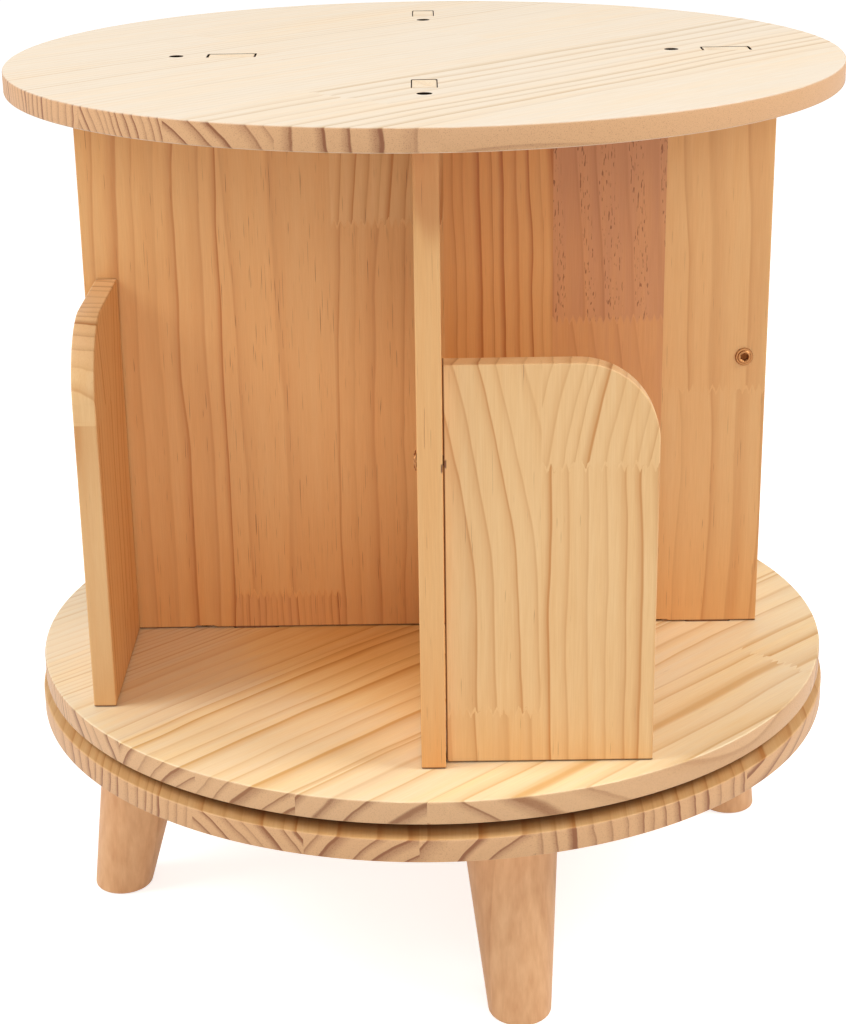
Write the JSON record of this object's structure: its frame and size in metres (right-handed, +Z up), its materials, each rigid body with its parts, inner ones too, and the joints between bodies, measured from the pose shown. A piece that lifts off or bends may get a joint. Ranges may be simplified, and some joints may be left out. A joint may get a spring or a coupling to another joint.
{
  "type": "revolving bookcase",
  "caption": "Round tabletop bookcase in pale pine whose crossed dividers and rounded book stops turn on a ring bearing above a disc base with splayed tapered legs.",
  "frame": {"origin": "on the floor, on the turning axis, in the middle of the four feet", "axes": "+Z up along the turning axis; -Y is the pictured front; +X to the right in the picture"},
  "size_m": [0.4588, 0.4588, 0.4822],
  "materials": {
    "pine_top": "satin clear lacquer on pale pine",
    "pine_board": "satin clear lacquer on finger-jointed pine",
    "pine_leg": "satin clear lacquer on turned pine",
    "dowel_wood": "bare beech",
    "yellow_zinc": "yellow zinc plating",
    "zinc_steel": "bright zinc plating",
    "ball_steel": "polished bearing steel",
    "aluminium": "mill aluminium",
    "nylon": "moulded nylon"
  },
  "bodies": {
    "base": {"base_board": "pine_board", "base_ring_screw_1": "zinc_steel", "base_ring_screw_2": "zinc_steel", "base_ring_screw_3": "zinc_steel", "base_ring_screw_4": "zinc_steel", "bearing_outer_ring": "aluminium", "leg_back": "pine_leg", "leg_bolt_back": "zinc_steel", "leg_bolt_front": "zinc_steel", "leg_bolt_left": "zinc_steel", "leg_bolt_right": "zinc_steel", "leg_front": "pine_leg", "leg_left": "pine_leg", "leg_right": "pine_leg", "tee_nut_back": "zinc_steel", "tee_nut_front": "zinc_steel", "tee_nut_left": "zinc_steel", "tee_nut_right": "zinc_steel"},
    "carousel": {"bearing_inner_ring": "aluminium", "divider_front_back": "pine_board", "divider_left_right": "pine_board", "stop_back": "pine_board", "stop_dowel_back": "dowel_wood", "stop_dowel_front": "dowel_wood", "stop_dowel_left": "dowel_wood", "stop_dowel_right": "dowel_wood", "stop_front": "pine_board", "stop_left": "pine_board", "stop_right": "pine_board", "stop_screw_back": "yellow_zinc", "stop_screw_front": "yellow_zinc", "stop_screw_left": "yellow_zinc", "stop_screw_right": "yellow_zinc", "top_board": "pine_top", "top_screw_back": "yellow_zinc", "top_screw_front": "yellow_zinc", "top_screw_left": "yellow_zinc", "top_screw_right": "yellow_zinc", "turntable_board": "pine_board", "turntable_ring_screw_1": "zinc_steel", "turntable_ring_screw_2": "zinc_steel", "turntable_ring_screw_3": "zinc_steel", "turntable_ring_screw_4": "zinc_steel", "turntable_screw_back": "yellow_zinc", "turntable_screw_front": "yellow_zinc", "turntable_screw_left": "yellow_zinc", "turntable_screw_right": "yellow_zinc"},
    "ball_cage_ring": {"ball_01": "ball_steel", "ball_02": "ball_steel", "ball_03": "ball_steel", "ball_04": "ball_steel", "ball_05": "ball_steel", "ball_06": "ball_steel", "ball_07": "ball_steel", "ball_08": "ball_steel", "ball_09": "ball_steel", "ball_10": "ball_steel", "ball_cage": "nylon"}
  },
  "joints": [
    {"name": "carousel_spin", "type": "hinge", "parent": "base", "child": "carousel", "pos_m": [0, 0, 0.135], "axis": [0, 0, 1], "continuous": true},
    {"name": "cage_spin", "type": "hinge", "parent": "base", "child": "ball_cage_ring", "pos_m": [0, 0, 0.13125], "axis": [0, 0, 1], "continuous": true}
  ],
  "couplings": [
    {"joint": "cage_spin", "follows": "carousel_spin", "ratio": 0.5}
  ]
}
